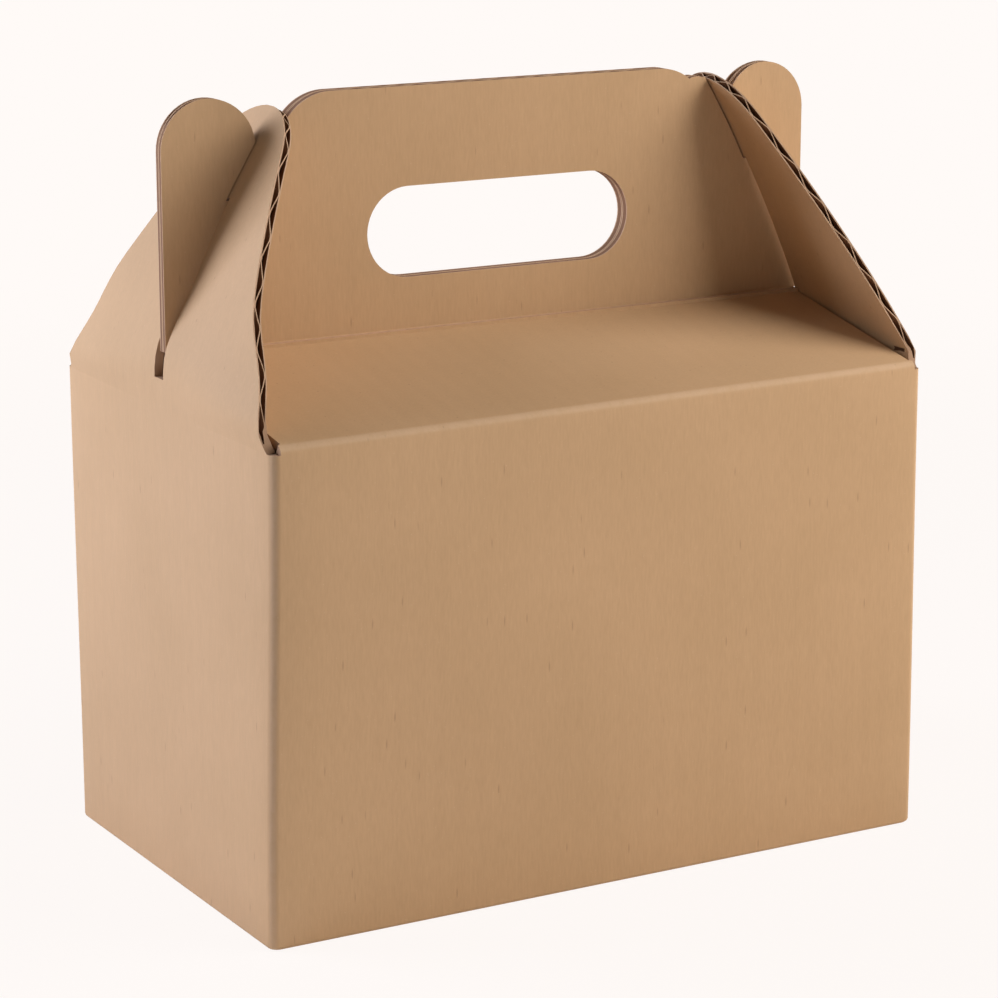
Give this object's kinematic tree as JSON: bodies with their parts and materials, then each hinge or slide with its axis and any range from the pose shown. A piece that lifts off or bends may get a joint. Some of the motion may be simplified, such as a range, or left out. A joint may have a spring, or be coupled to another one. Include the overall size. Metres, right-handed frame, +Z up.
{
  "type": "cardboard lunch box",
  "caption": "Folded corrugated board lunch box with a gable top, slotted end flaps and a double handle with a hand hole.",
  "frame": {"origin": "middle of the base, on the surface that the box stands on", "axes": "+X along the long walls and the handle, +Y from the front wall to the back wall, +Z up"},
  "size_m": [0.2058, 0.1238, 0.212],
  "materials": {
    "kraft_board": "matt brown kraft liner"
  },
  "bodies": {
    "root": {"carton": "kraft_board"}
  },
  "joints": []
}
